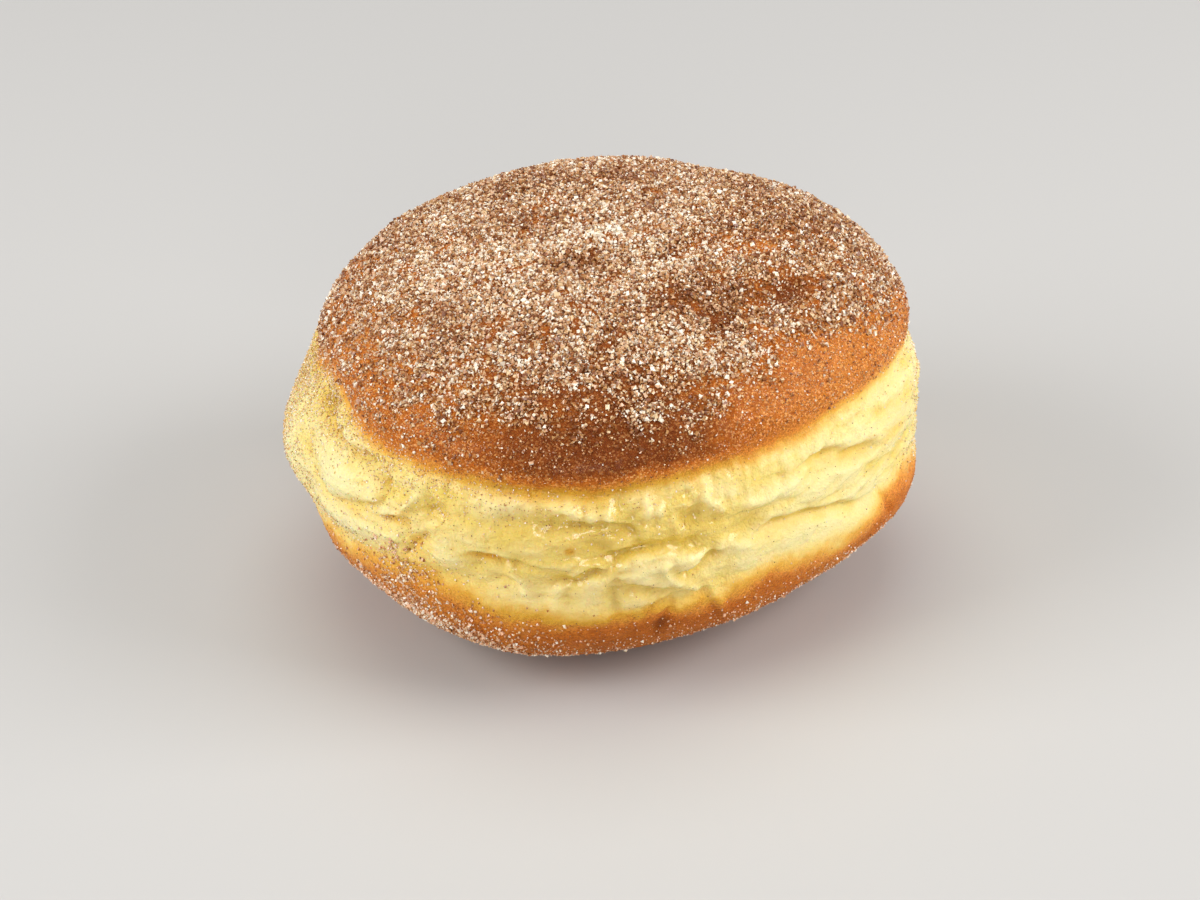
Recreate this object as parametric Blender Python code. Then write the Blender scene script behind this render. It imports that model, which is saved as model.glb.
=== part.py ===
"""A round jelly filled doughnut, fried on both sides and rolled in cinnamon sugar.

It is whole and uncut, so it is one solid: a domed brown cap, a pale belly band with its creases,
and a brown base with a flat foot. The largest clumps of sugar are fused to its crust.

Lengths are in millimetres and angles in degrees, and the mesh is made in metres. Azimuth 0 points
along +X and 90 along +Y, and the front of the doughnut is at -90. +Z is up, and the origin lies on
the resting surface, under the middle of the doughnut's box.
"""

import math
import random

import bmesh
import bpy
import numpy as np
from mathutils import Matrix, Vector

MM = 0.001

# Outer form
HALF_WIDTH = 42.9
HALF_DEPTH = 44.0
WAIST_HEIGHT = 24.0
DOME_RISE = 28.0
FOOT_CUT = 0.8
DOME_FULLNESS = 2.8
BASE_FULLNESS = 3.0
THREE_LOBES = 0.042
FOUR_LOBES = 0.015
SKEW = -0.009
RISE_TO_THE_RIGHT = 0.11
RISE_TO_THE_BACK = 0.04
RISE_AT_BOTH_SIDES = 0.07

# The belly that swells out at the left
BULGE_AZIMUTH = 184.0
BULGE_HEIGHT = 23.5
BULGE_HALF_ANGLE = 30.0
BULGE_HALF_HEIGHT = 6.5
BULGE_OUT = 3.0

# Edges of the two crusts, as heights on the side
CAP_EDGE = 36.2
BASE_EDGE = 16.4

# Each sway: azimuth, half angle, height added
CAP_EDGE_SWAYS = ((-86.0, 26.0, -1.6), (-160.0, 16.0, 1.4), (70.0, 40.0, -1.2))
BASE_EDGE_SWAYS = ((-110.0, 12.0, 1.8), (-80.0, 11.0, -2.4), (-30.0, 14.0, 1.8), (80.0, 30.0, 1.4))

# Relief along the crust edges: offset from the edge, half height, height of the relief
CAP_LIP = (2.4, 2.2, 0.45)
CAP_TUCK = (-1.2, 1.4, -0.8)
BELLY = (-8.0, 3.5, 0.45)
BASE_TUCK = (2.0, 1.7, -0.5)

# Folds of the belly: points as (azimuth, height), half width, height of the relief
FOLDS = (
    (((-151, 39), (-152, 36), (-155, 31)), 1.9, -1.6),
    (((-133, 26), (-130, 27.5), (-126, 29)), 1.2, 0.8),
    (((-113, 22.8), (-109, 24.4), (-106, 26)), 1.2, -0.9),
    (((-106, 24.5), (-104, 18.5)), 1.2, 0.6),
    (((-107, 33), (-103, 33.8), (-98, 33), (-93, 31.4)), 1.2, 0.6),
    (((-106, 27), (-98, 29.7), (-91, 29), (-84, 28), (-79, 25.2), (-70, 24)), 1.4, -1.1),
    (((-89, 23.8), (-84, 21.3), (-79, 19)), 1.2, -0.8),
    (((-80, 17), (-78, 10)), 1.3, -0.9),
    (((-70, 18), (-67, 11)), 1.2, -0.7),
    (((-62, 23.2), (-49, 22.9), (-40, 21.4), (-27, 18)), 1.4, -1.0),
    (((-52, 31.3), (-41, 29.6), (-28, 25.9)), 1.3, -0.8),
    (((-12, 28), (8, 24.5), (30, 25.5)), 1.4, -1.1),
    (((22, 31), (40, 29.5), (58, 31)), 1.3, -0.8),
    (((48, 23), (66, 21), (88, 23.5)), 1.3, -1.0),
    (((76, 30), (92, 28), (112, 29.5)), 1.4, -0.9),
    (((104, 22.5), (120, 24.5), (140, 21.5)), 1.3, -1.1),
    (((132, 31), (146, 28.5), (160, 31.5)), 1.3, -0.9),
    (((118, 17), (121, 10)), 1.3, -0.8),
    (((34, 17), (31, 11)), 1.3, -0.7),
)

# Pillows and hollows of the belly: azimuth, height, half angle, half height, height of the relief
SWELLS = (
    (182, 41.0, 26, 6.0, -1.2),
    (-20, 14.5, 20, 4.5, 1.3),
    (-143, 27.5, 8, 4.0, 1.2),
    (-130, 31.4, 3, 2.0, -0.9),
    (-120, 30.8, 4, 2.0, -0.8),
    (-118, 22.6, 5, 2.5, 0.8),
    (-92, 26.5, 4, 1.8, -0.6),
    (-74, 21.5, 4, 1.6, 0.8),
    (-73, 28.8, 4, 2.0, -0.5),
    (-48, 19.6, 14, 2.0, 0.6),
    (20, 20.0, 12, 2.4, 0.7),
    (70, 25.5, 10, 3.0, 0.8),
    (122, 28.0, 10, 2.6, 0.7),
)

# Dents of the cap: centre as (x, y), direction, half length, half width, height of the relief
DENTS = (
    ((21.5, -20.0), 38.0, 8.0, 3.6, -2.2),
    ((30.5, -13.5), 60.0, 5.5, 3.0, 0.5),
    ((-2.5, -9.5), 0.0, 4.5, 3.0, -1.1),
    ((10.0, -10.0), 30.0, 4.5, 3.0, -0.8),
    ((-19.0, 14.0), -40.0, 8.0, 5.0, -0.9),
    ((12.0, 21.0), 10.0, 7.0, 4.5, -1.0),
)

# Slow waves of the whole skin: turns round the doughnut, turns in its height, phase, half the depth
WAVES = ((3, 0.9, 0.4, 0.28), (5, 1.6, 2.1, 0.22), (8, 2.2, 4.0, 0.14))

# The foot is a flat triangle, and the skin round it stands a little higher
FOOT_CORNERS = (-90.0, 30.0, 150.0)
FOOT_RIM = 0.02
FOOT_ROUNDING = 1.0
FOOT_RISE = 0.3

COLUMNS = 256
ROWS = 128
BODY_TRIANGLES = 7200

# Clumps of sugar
CLUMPS_ON_CAP = 98
CLUMPS_ON_BASE = 14
CLUMP_RADIUS = (0.62, 0.95)
CLUMP_SPACING = 3.4
CLUMP_SINK = 0.2
CLUMP_HEIGHT = 0.75
CLUMP_SEED = 21

CRUST_BROWN = (0.402, 0.115, 0.032, 1.0)
CRUST_ROUGHNESS = 0.62


def turn_between(azimuth, centre):
    """The angle from centre to azimuth, between -180 and 180."""
    return (azimuth - centre + 180.0) % 360.0 - 180.0


def bump(offset, half_width):
    """A smooth bump, one at no offset and near nothing past two half widths."""
    return np.exp(-((offset / half_width) ** 2))


def edge_height(azimuth, height, sways):
    """The height of a crust's edge at each azimuth."""
    for centre, half_angle, rise in sways:
        height = height + rise * bump(turn_between(azimuth, centre), half_angle)
    return height


def plan_radius(azimuth):
    """The radius of the waist, seen from above."""
    angle = np.radians(azimuth)
    across = HALF_DEPTH * np.cos(angle)
    along = HALF_WIDTH * np.sin(angle)
    oval = HALF_WIDTH * HALF_DEPTH / np.hypot(across, along)
    lobes = THREE_LOBES * np.cos(3 * angle) + FOUR_LOBES * np.cos(4 * angle) + SKEW * np.sin(2 * angle)
    return oval * (1.0 + lobes)


def smooth_body(azimuth, slope):
    """Points of the plain body and its outward directions.

    Slope is the angle above the waist, seen from the waist's centre.
    """
    angle = np.radians(azimuth)
    out = np.cos(np.radians(slope))
    up = np.sin(np.radians(slope))
    to_right = np.cos(angle) * out
    to_back = np.sin(angle) * out
    lift = 1.0 + RISE_TO_THE_RIGHT * to_right + RISE_TO_THE_BACK * to_back + RISE_AT_BOTH_SIDES * to_right**2
    rise = np.where(up > 0, DOME_RISE * lift, WAIST_HEIGHT + FOOT_CUT)
    fullness = np.where(up > 0, DOME_FULLNESS, BASE_FULLNESS)
    waist = plan_radius(azimuth)
    reach = ((out / waist) ** fullness + (np.abs(up) / rise) ** fullness) ** (-1.0 / fullness)
    height = WAIST_HEIGHT + reach * up
    radius = reach * out
    slant_out = radius ** (fullness - 1) / waist**fullness
    slant_up = np.sign(up) * np.abs(reach * up) ** (fullness - 1) / rise**fullness
    steep = np.hypot(slant_out, slant_up)
    bulge = bump(turn_between(azimuth, BULGE_AZIMUTH), BULGE_HALF_ANGLE)
    bulge = bulge * bump(height - BULGE_HEIGHT, BULGE_HALF_HEIGHT)
    radius = radius + BULGE_OUT * bulge
    return radius, height, slant_out / steep, slant_up / steep


def distance_to_line(azimuth, height, points):
    """The distance over the skin from each place to a line of (azimuth, height) points."""
    per_degree = math.radians(HALF_WIDTH)
    middle = points[len(points) // 2][0]
    across = turn_between(azimuth, middle) * per_degree
    nearest = np.full(across.shape, np.inf)
    for start, end in zip(points, points[1:]):
        start_across = (start[0] - middle) * per_degree
        run_across = (end[0] - start[0]) * per_degree
        run_up = end[1] - start[1]
        share = (across - start_across) * run_across + (height - start[1]) * run_up
        share = np.clip(share / (run_across**2 + run_up**2), 0.0, 1.0)
        gap = np.hypot(across - start_across - share * run_across, height - start[1] - share * run_up)
        nearest = np.minimum(nearest, gap)
    return nearest


def belly_relief(azimuth, height):
    """How far the lips, tucks, folds and pillows of the side stand out."""
    above_cap_edge = height - edge_height(azimuth, CAP_EDGE, CAP_EDGE_SWAYS)
    above_base_edge = height - edge_height(azimuth, BASE_EDGE, BASE_EDGE_SWAYS)
    relief = np.zeros(azimuth.shape)
    for offset, half_height, out in (CAP_LIP, CAP_TUCK, BELLY):
        relief += out * bump(above_cap_edge - offset, half_height)
    offset, half_height, out = BASE_TUCK
    relief += out * bump(above_base_edge - offset, half_height)
    for points, half_width, out in FOLDS:
        relief += out * bump(distance_to_line(azimuth, height, points), half_width)
    for centre, middle, half_angle, half_height, out in SWELLS:
        turned = turn_between(azimuth, centre)
        relief += out * bump(turned, half_angle) * bump(height - middle, half_height)
    return relief


def cap_relief(x, y, height):
    """How far the dents and slow waves stand out."""
    relief = np.zeros(x.shape)
    on_top = np.clip((height - WAIST_HEIGHT) / DOME_RISE, 0.0, 1.0)
    for (centre_x, centre_y), direction, half_length, half_width, out in DENTS:
        turned = math.radians(direction)
        along = (x - centre_x) * math.cos(turned) + (y - centre_y) * math.sin(turned)
        across = (y - centre_y) * math.cos(turned) - (x - centre_x) * math.sin(turned)
        relief += out * on_top * bump(along, half_length) * bump(across, half_width)
    angle = np.arctan2(y, x)
    radius = np.hypot(x, y) / HALF_WIDTH
    for round_turns, up_turns, phase, depth in WAVES:
        wave = np.sin(round_turns * angle + phase) * np.cos(up_turns * math.tau * height / 50.0 + phase)
        relief += depth * radius**2 * wave
    return relief


def skin_points(azimuth, slope):
    """Points of the finished skin, in millimetres, one row each."""
    radius, height, out, up = smooth_body(azimuth, slope)
    angle = np.radians(azimuth)
    relief = belly_relief(azimuth, height)
    relief += cap_relief(radius * np.cos(angle), radius * np.sin(angle), height)
    radius = radius + relief * out
    height = np.maximum(height + relief * up, 0.0)
    return np.stack([radius * np.cos(angle), radius * np.sin(angle), height], axis=-1)


def make_body(collection):
    """The doughnut without its sugar, as a sphere drawn out to the skin."""
    mesh = bpy.data.meshes.new("doughnut")
    build = bmesh.new()
    bmesh.ops.create_uvsphere(build, u_segments=COLUMNS, v_segments=ROWS, radius=1.0)
    places = np.array([vertex.co for vertex in build.verts])
    azimuth = np.degrees(np.arctan2(places[:, 1], places[:, 0]))
    slope = np.degrees(np.arcsin(np.clip(places[:, 2], -1.0, 1.0)))
    for vertex, point in zip(build.verts, skin_points(azimuth, slope)):
        vertex.co = point * MM
    foot = [face for face in build.faces if all(vertex.co.z == 0.0 for vertex in face.verts)]
    bmesh.ops.dissolve_faces(build, faces=foot)
    bmesh.ops.triangulate(build, faces=build.faces)
    build.to_mesh(mesh)
    build.free()
    body = bpy.data.objects.new("doughnut", mesh)
    collection.objects.link(body)
    lighter = body.modifiers.new("fewer faces", "DECIMATE")
    lighter.ratio = BODY_TRIANGLES / len(mesh.polygons)
    return body


def apply_modifiers(item):
    """Make the mesh what its modifiers show, and drop them."""
    shown = item.evaluated_get(bpy.context.evaluated_depsgraph_get())
    item.data = bpy.data.meshes.new_from_object(shown)
    item.modifiers.clear()


def flatten_foot(body):
    """Let the doughnut rest on a flat triangle, so that it stands still on any plane."""
    build = bmesh.new()
    build.from_mesh(body.data)
    rim = [vertex for vertex in build.verts if vertex.co.z < FOOT_RIM * MM]
    rim.sort(key=lambda vertex: math.atan2(vertex.co.y, vertex.co.x))
    under = [face for face in build.faces if all(vertex in rim for vertex in face.verts)]
    bmesh.ops.delete(build, geom=under, context="FACES")
    for vertex in build.verts:
        lift = FOOT_RISE * MM * (1.0 - vertex.co.z / (FOOT_ROUNDING * MM))
        vertex.co.z += max(0.0, lift)
    azimuths = [math.degrees(math.atan2(vertex.co.y, vertex.co.x)) for vertex in rim]
    corners = [min(range(len(rim)), key=lambda k: abs(turn_between(azimuths[k], turn))) for turn in FOOT_CORNERS]
    for corner in corners:
        rim[corner].co.z = 0.0
    build.faces.new([rim[corner] for corner in reversed(corners)])
    for start, end in zip(corners, corners[1:] + corners[:1]):
        run = range(start, end + 1 if end > start else end + 1 + len(rim))
        build.faces.new([rim[k % len(rim)] for k in reversed(run)])
    bmesh.ops.triangulate(build, faces=[face for face in build.faces if len(face.verts) > 3])
    bmesh.ops.recalc_face_normals(build, faces=build.faces)
    build.to_mesh(body.data)
    build.free()


def sugar_share(azimuth, slope):
    """How much sugar lies on the cap at a place, from none to one."""
    heavy = bump(turn_between(azimuth, -120.0), 95.0)
    low_edge = 32.0 + 8.0 * bump(turn_between(azimuth, -55.0), 40.0)
    return min(1.0, max(0.0, (slope - low_edge) / 10.0)) * (0.45 + 0.55 * heavy)


def place_clumps(count, pick_place, draw):
    """Azimuths and slopes of clumps that keep their distance from each other."""
    places = []
    points = []
    tries = 0
    while len(places) < count and tries < 40 * count:
        tries += 1
        azimuth, slope = pick_place(draw)
        point = skin_points(np.array([azimuth]), np.array([slope]))[0]
        if all(np.linalg.norm(point - other) > CLUMP_SPACING for other in points):
            places.append((azimuth, slope))
            points.append(point)
    return places


def place_on_cap(draw):
    """A place on the cap, drawn where the sugar lies thick."""
    while True:
        azimuth = draw.uniform(-180.0, 180.0)
        slope = math.degrees(math.asin(draw.uniform(math.sin(math.radians(26.0)), 1.0)))
        if draw.random() < sugar_share(azimuth, slope):
            return azimuth, slope


def place_on_base(draw):
    """A place on the rim of the base, at the front left."""
    return draw.uniform(-142.0, -96.0), draw.uniform(-34.0, -21.0)


def add_clump(azimuth, slope, draw, collection):
    """A rough clump of sugar that stands on the skin and reaches into it."""
    here = skin_points(np.array([azimuth, azimuth + 1.0]), np.array([slope, slope]))
    there = skin_points(np.array([azimuth]), np.array([slope + 1.0]))[0]
    outward = Vector(here[1] - here[0]).cross(Vector(there - here[0])).normalized()
    radius = draw.uniform(*CLUMP_RADIUS)
    mesh = bpy.data.meshes.new("clump")
    build = bmesh.new()
    bmesh.ops.create_icosphere(build, subdivisions=1, radius=radius)
    for vertex in build.verts:
        vertex.co *= draw.uniform(0.82, 1.12)
    spin = Matrix.Rotation(draw.uniform(0.0, math.tau), 4, "Z")
    stand = outward.to_track_quat("Z", "Y").to_matrix().to_4x4()
    squash = Matrix.Scale(CLUMP_HEIGHT, 4, Vector((0.0, 0.0, 1.0)))
    seat = Matrix.Translation(Vector(here[0]) - outward * CLUMP_SINK)
    bmesh.ops.transform(build, matrix=Matrix.Scale(MM, 4) @ seat @ stand @ squash @ spin, verts=build.verts)
    build.to_mesh(mesh)
    build.free()
    collection.objects.link(bpy.data.objects.new("clump", mesh))


def fuse_sugar(body):
    """Join the clumps to the body with one union."""
    clumps = bpy.data.collections.new("sugar clumps")
    bpy.context.scene.collection.children.link(clumps)
    draw = random.Random(CLUMP_SEED)
    for azimuth, slope in place_clumps(CLUMPS_ON_CAP, place_on_cap, draw):
        add_clump(azimuth, slope, draw, clumps)
    for azimuth, slope in place_clumps(CLUMPS_ON_BASE, place_on_base, draw):
        add_clump(azimuth, slope, draw, clumps)
    join = body.modifiers.new("sugar", "BOOLEAN")
    join.operation = "UNION"
    join.operand_type = "COLLECTION"
    join.collection = clumps
    join.solver = "MANIFOLD"
    apply_modifiers(body)
    for clump in list(clumps.objects):
        bpy.data.objects.remove(clump)
    bpy.data.collections.remove(clumps)


def centre_over_origin(body):
    """Move the mesh so that the middle of its box stands over the origin."""
    corners = [vertex.co for vertex in body.data.vertices]
    middle_x = (min(corner.x for corner in corners) + max(corner.x for corner in corners)) / 2
    middle_y = (min(corner.y for corner in corners) + max(corner.y for corner in corners)) / 2
    body.data.transform(Matrix.Translation((-middle_x, -middle_y, 0.0)))


def dress(body):
    """The brown of the crust, which covers most of the doughnut."""
    crust = bpy.data.materials.new("fried crust")
    crust.use_nodes = True
    finish = crust.node_tree.nodes["Principled BSDF"]
    finish.inputs["Base Color"].default_value = CRUST_BROWN
    finish.inputs["Roughness"].default_value = CRUST_ROUGHNESS
    finish.inputs["Metallic"].default_value = 0.0
    body.data.materials.clear()
    body.data.materials.append(crust)
    body.data.shade_smooth()
    body.data.set_sharp_from_angle(angle=math.radians(40.0))


def main():
    """Build the doughnut in a collection of its own."""
    for item in list(bpy.data.objects):
        bpy.data.objects.remove(item)
    collection = bpy.data.collections.new("jelly filled doughnut")
    bpy.context.scene.collection.children.link(collection)
    body = make_body(collection)
    apply_modifiers(body)
    flatten_foot(body)
    fuse_sugar(body)
    centre_over_origin(body)
    dress(body)


main()
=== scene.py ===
"""The looks of a jelly filled doughnut that was rolled in cinnamon sugar.

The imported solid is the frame. One fine skin replaces it and keeps its form: a brown cap, a pale belly
band with its creases and a browned base. Over the skin lie grains of sugar, clumps and powder of it,
crumbs and specks of cinnamon, each kind as one mesh.

Lengths are in millimetres and angles in degrees inside the classes, and meshes are made in metres.
Azimuth 0 points along +X and 90 along +Y, and the front of the doughnut is at -90. Each row of a
table holds the fields of the table's kind, in their order.
"""

import logging
import math
from dataclasses import dataclass, field
from enum import Enum
from functools import cache

import bpy
import numpy as np
from bpy.types import Material, Node, NodeSocket, NodeTree, Object
from mathutils import Matrix, Vector


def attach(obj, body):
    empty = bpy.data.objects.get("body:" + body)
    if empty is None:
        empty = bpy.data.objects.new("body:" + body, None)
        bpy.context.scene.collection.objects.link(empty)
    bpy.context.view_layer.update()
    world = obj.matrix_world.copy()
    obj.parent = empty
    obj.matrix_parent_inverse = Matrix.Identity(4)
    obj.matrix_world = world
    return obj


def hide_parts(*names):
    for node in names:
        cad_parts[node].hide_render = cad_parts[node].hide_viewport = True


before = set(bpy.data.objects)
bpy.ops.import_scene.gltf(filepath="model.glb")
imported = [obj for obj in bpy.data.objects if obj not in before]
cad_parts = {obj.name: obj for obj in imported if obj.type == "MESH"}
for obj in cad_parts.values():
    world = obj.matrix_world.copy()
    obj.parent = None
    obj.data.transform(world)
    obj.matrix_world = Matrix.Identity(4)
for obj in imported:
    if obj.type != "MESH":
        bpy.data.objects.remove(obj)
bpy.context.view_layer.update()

MM = 0.001
BODY = "root"
NODE = "doughnut"

logging.basicConfig(level=logging.INFO, format="%(name)s: %(message)s")
log = logging.getLogger("doughnut")

Array = np.ndarray
Colour = tuple[float, float, float]
Size = Colour | float


def bump(offset: Array, half_width: float) -> Array:
    """A smooth bump, one at no offset and near nothing past two half widths."""
    return np.exp(-((offset / half_width) ** 2))


def smooth_step(value: Array, start: float, end: float) -> Array:
    """A smooth rise from none at start to one at end, which may lie below start."""
    share = np.clip((value - start) / (end - start), 0.0, 1.0)
    return share * share * (3.0 - 2.0 * share)


def turn_between(azimuth: Array, centre: float) -> Array:
    """The angle from centre to azimuth, between -180 and 180."""
    return (azimuth - centre + 180.0) % 360.0 - 180.0


def facing(azimuth: Array, centre: float, half_angle: float) -> Array:
    """One where the azimuth is centre, and near nothing past two half angles from it."""
    return bump(turn_between(azimuth, centre), half_angle)


def rows(kind: type, *values: tuple) -> tuple:
    """One object of a kind for each row of values."""
    return tuple(kind(*row) for row in values)


class Waves:
    """Smooth random waves that fill space, the same on each run."""

    SIDE = 32
    TURN = np.array(Matrix.Rotation(0.9, 3, Vector((0.4, 0.7, 0.6))))
    GAIN = 1.7
    SHARPNESS = 10.0

    def __init__(self, seed: int) -> None:
        """Draw the slopes of the waves on a lattice that repeats.

        Args:
            seed: the start of the random numbers.
        """
        draw = np.random.default_rng(seed)
        slopes = draw.normal(size=(self.SIDE, self.SIDE, self.SIDE, 3))
        self.slopes = slopes / np.linalg.norm(slopes, axis=-1, keepdims=True)

    def at(self, places: Array, size: Size) -> Array:
        """Heights of one layer of waves.

        Args:
            places: points in millimetres, one row each.
            size: the width of a wave, for all axes or for X, Y and Z.

        Returns:
            One height for each point, between about -1 and 1.
        """
        scaled = (places / np.asarray(size, float)) @ self.TURN
        cell = np.floor(scaled).astype(int)
        part = scaled - cell
        fade = part * part * part * (part * (part * 6.0 - 15.0) + 10.0)
        total = np.zeros(len(places))
        for corner in np.ndindex(2, 2, 2):
            weight = np.prod(np.where(corner, fade, 1.0 - fade), axis=1)
            index = (cell + corner) % self.SIDE
            slope = self.slopes[index[:, 0], index[:, 1], index[:, 2]]
            total += weight * np.einsum("ij,ij->i", slope, part - corner)
        return total * self.GAIN

    def layered(self, places: Array, size: Size, layers: int = 3) -> Array:
        """Heights of several layers of waves, each half as wide and half as high as the last.

        Args:
            places: points in millimetres, one row each.
            size: the width of the widest wave.
            layers: how many layers are added.

        Returns:
            One height for each point.
        """
        total = np.zeros(len(places))
        for layer in range(layers):
            share = 0.5**layer
            total += share * self.at(places + 17.3 * layer, np.asarray(size, float) * share)
        return total

    def ridged(self, places: Array, size: Size) -> Array:
        """Thin winding lines, one on a line and near nothing away from it."""
        return np.exp(-self.SHARPNESS * np.abs(self.at(places, size)))


@dataclass(frozen=True)
class Sway:
    """A place round the body where a level rises or falls."""

    azimuth: float
    half_angle: float
    rise: float


def swayed(azimuth: Array, level: float, sways: tuple[Sway, ...]) -> Array:
    """A level at each azimuth, with its sways.

    Args:
        azimuth: directions seen from above.
        level: the level away from the sways.
        sways: where it rises or falls.

    Returns:
        One level for each azimuth.
    """
    found = np.full(azimuth.shape, level)
    for sway in sways:
        found += sway.rise * facing(azimuth, sway.azimuth, sway.half_angle)
    return found


@dataclass(frozen=True)
class Fold:
    """A crease or ridge that runs over the side.

    points are (azimuth, height) places along it, out is how far it stands out, which is below none
    for a crease, and lip is how far its upper bank stands proud, or its lower bank if below none.
    """

    points: tuple[tuple[float, float], ...]
    half_width: float
    out: float
    lip: float = 0.0

    def line(self, steps: int = 5) -> Array:
        """A smooth line through the points.

        Args:
            steps: how many steps lead from one point to the next.

        Returns:
            Rows of azimuth and height.
        """
        given = np.array(self.points, float)
        if len(given) < 3:
            return given
        padded = np.vstack([2 * given[0] - given[1], given, 2 * given[-1] - given[-2]])
        line = []
        for before, start, end, after in zip(padded, padded[1:], padded[2:], padded[3:]):
            for share in np.arange(steps) / steps:
                bend = 2 * start + (end - before) * share
                bend = bend + (2 * before - 5 * start + 4 * end - after) * share**2
                bend = bend + (3 * start - before - 3 * end + after) * share**3
                line.append(bend / 2)
        return np.array([*line, given[-1]])

    def relief(self, azimuth: Array, height: Array, radius: float) -> Array:
        """How far the fold stands out at each place.

        Args:
            azimuth: directions seen from above.
            height: heights over the floor.
            radius: the body's radius there.

        Returns:
            One value for each place.
        """
        relief = np.zeros(azimuth.shape)
        line = self.line()
        middle = line[:, 0].mean()
        reach = np.abs(line[:, 0] - middle).max() + 8.0
        near = np.abs(turn_between(azimuth, middle)) < reach
        near &= (height > line[:, 1].min() - 6.0) & (height < line[:, 1].max() + 6.0)
        per_degree = math.radians(radius)
        across = turn_between(azimuth[near], middle) * per_degree
        flat = np.stack([(line[:, 0] - middle) * per_degree, line[:, 1]], axis=-1)
        nearest, side, along = self.nearest(flat, across, height[near])
        taper = np.clip(np.minimum(along, 1.0 - along) * 6.0 + 0.2, 0.0, 1.0)
        steep = side * np.sign(self.lip) > 0
        width = np.where(steep | (self.lip == 0.0), 1.0, 2.6) * self.half_width
        profile = self.out * np.exp(-((nearest / width) ** 1.5))
        bank = abs(self.lip) * smooth_step(nearest, 0.4 * self.half_width, 1.6 * self.half_width)
        bank = bank * np.exp(-nearest / (1.0 + 2.4 * self.half_width)) * 1.6
        relief[near] = (profile + np.where(steep, bank, 0.0)) * taper
        return relief

    @staticmethod
    def nearest(line: Array, across: Array, up: Array) -> tuple[Array, Array, Array]:
        """How each place lies to the nearest point of a line.

        Args:
            line: the line's points, across and up.
            across: how far across each place is.
            up: how far up it is.

        Returns:
            The gap, the side as 1 above the line or -1 below it, and the share of the way along.
        """
        gaps, side, along = np.full(across.shape, np.inf), np.zeros(across.shape), np.zeros(across.shape)
        for step, (start, end) in enumerate(zip(line, line[1:])):
            run = end - start
            share = ((across - start[0]) * run[0] + (up - start[1]) * run[1]) / (run @ run)
            share = np.clip(share, 0.0, 1.0)
            gap_across = across - start[0] - share * run[0]
            gap_up = up - start[1] - share * run[1]
            gap = np.hypot(gap_across, gap_up)
            closer = gap < gaps
            turn = np.sign(run[0] * gap_up - run[1] * gap_across) * (1.0 if run[0] >= 0 else -1.0)
            gaps[closer] = gap[closer]
            side[closer] = turn[closer]
            along[closer] = ((step + share) / (len(line) - 1))[closer]
        return gaps, side, along


@dataclass(frozen=True)
class Swell:
    """A patch of the side that stands out or in, or has more or less of something."""

    azimuth: float
    height: float
    half_angle: float
    half_height: float
    amount: float

    def at(self, azimuth: Array, height: Array) -> Array:
        """Its amount at each place."""
        near = facing(azimuth, self.azimuth, self.half_angle)
        return self.amount * near * bump(height - self.height, self.half_height)


@dataclass(frozen=True)
class Dent:
    """A patch of the cap, round or long, at a place seen from above."""

    x: float
    y: float
    direction: float
    half_length: float
    half_width: float
    amount: float

    def at(self, places: Array) -> Array:
        """Its amount at each place.

        Args:
            places: points on the body, one row each.

        Returns:
            One value for each place.
        """
        turned = math.radians(self.direction)
        x, y = places[:, 0] - self.x, places[:, 1] - self.y
        along = x * math.cos(turned) + y * math.sin(turned)
        across = y * math.cos(turned) - x * math.sin(turned)
        return self.amount * bump(along, self.half_length) * bump(across, self.half_width)


@dataclass(frozen=True)
class PlainPoints:
    """Places on the body before its relief, one row or value each."""

    azimuth: Array
    places: Array
    over_cap_edge: Array
    over_base_edge: Array
    belly: Array
    on_top: Array

    @property
    def height(self) -> Array:
        """Heights over the floor."""
        return self.places[:, 2]

    def facing(self, centre: float, half_angle: float) -> Array:
        """One where a place's azimuth is centre, and near nothing past two half angles."""
        return facing(self.azimuth, centre, half_angle)


@dataclass(frozen=True)
class SkinPoints:
    """Places on the finished skin and what shows there, one row or value each."""

    places: Array
    browning: Array
    # painted shade: how deep the belly's creases are, which darkens them
    hollow_shade: Array
    # painted highlight: how far the belly's crests stand out, which lightens them
    ridge_highlight: Array
    waxy: Array
    moist: Array
    ochre: Array
    cap: Array
    belly: Array
    sugar: Array
    tint_and_shade: Array


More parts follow.
